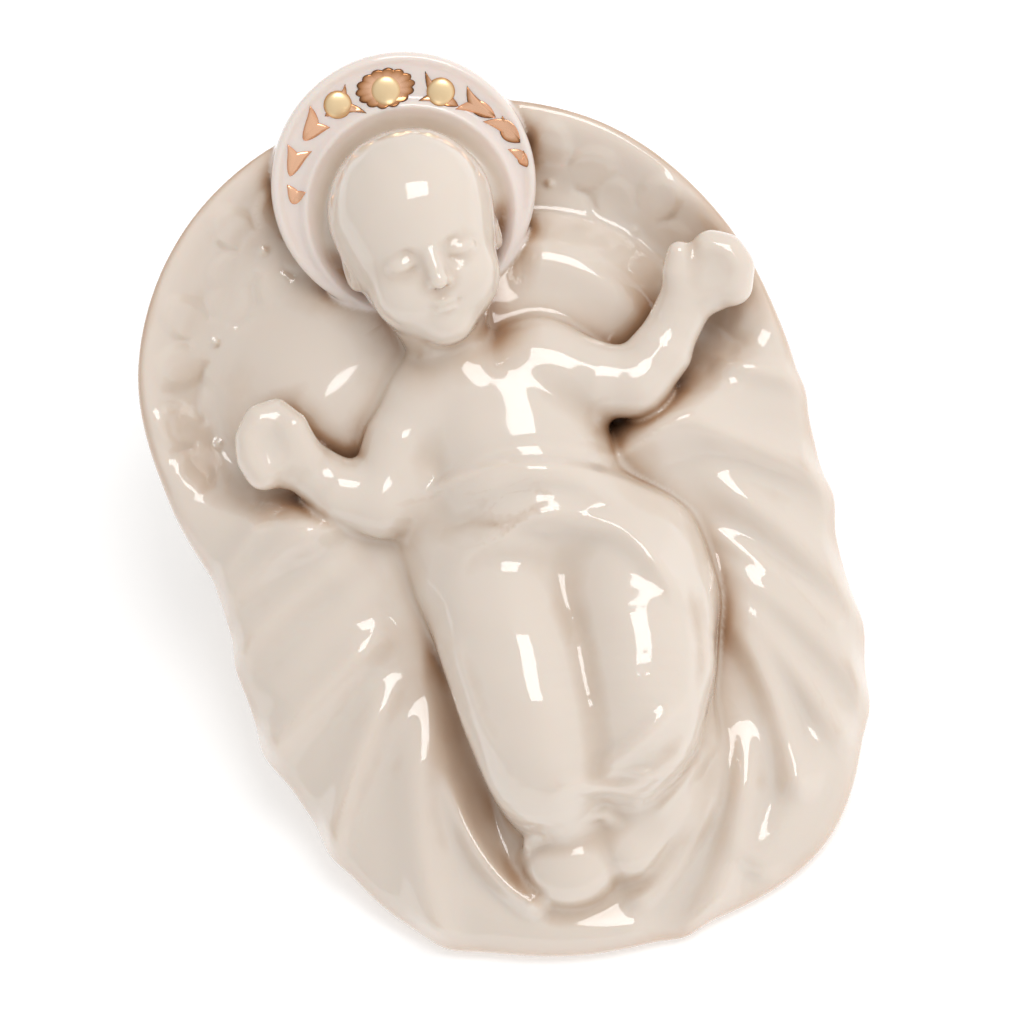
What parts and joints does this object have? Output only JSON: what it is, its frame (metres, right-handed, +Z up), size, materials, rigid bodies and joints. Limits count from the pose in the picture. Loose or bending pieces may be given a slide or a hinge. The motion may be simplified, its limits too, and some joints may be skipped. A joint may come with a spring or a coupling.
{
  "type": "infant nativity figurine",
  "caption": "Glazed porcelain figurine of an infant lying on a draped cloth cradle, arms out, with a gilded dished halo behind the head and a flat underside to stand on.",
  "frame": {"origin": "on the table, under the middle of the overall box", "axes": "+Z up, the feet towards -Y and the head towards +Y, +X to the figure's left hand"},
  "size_m": [0.088, 0.1114, 0.0666],
  "materials": {
    "porcelain": "warm ivory body under a clear gloss glaze",
    "gilding": "bright gold lustre fired on the halo's band"
  },
  "bodies": {
    "root": {"infant_figurine": "porcelain"}
  },
  "joints": []
}
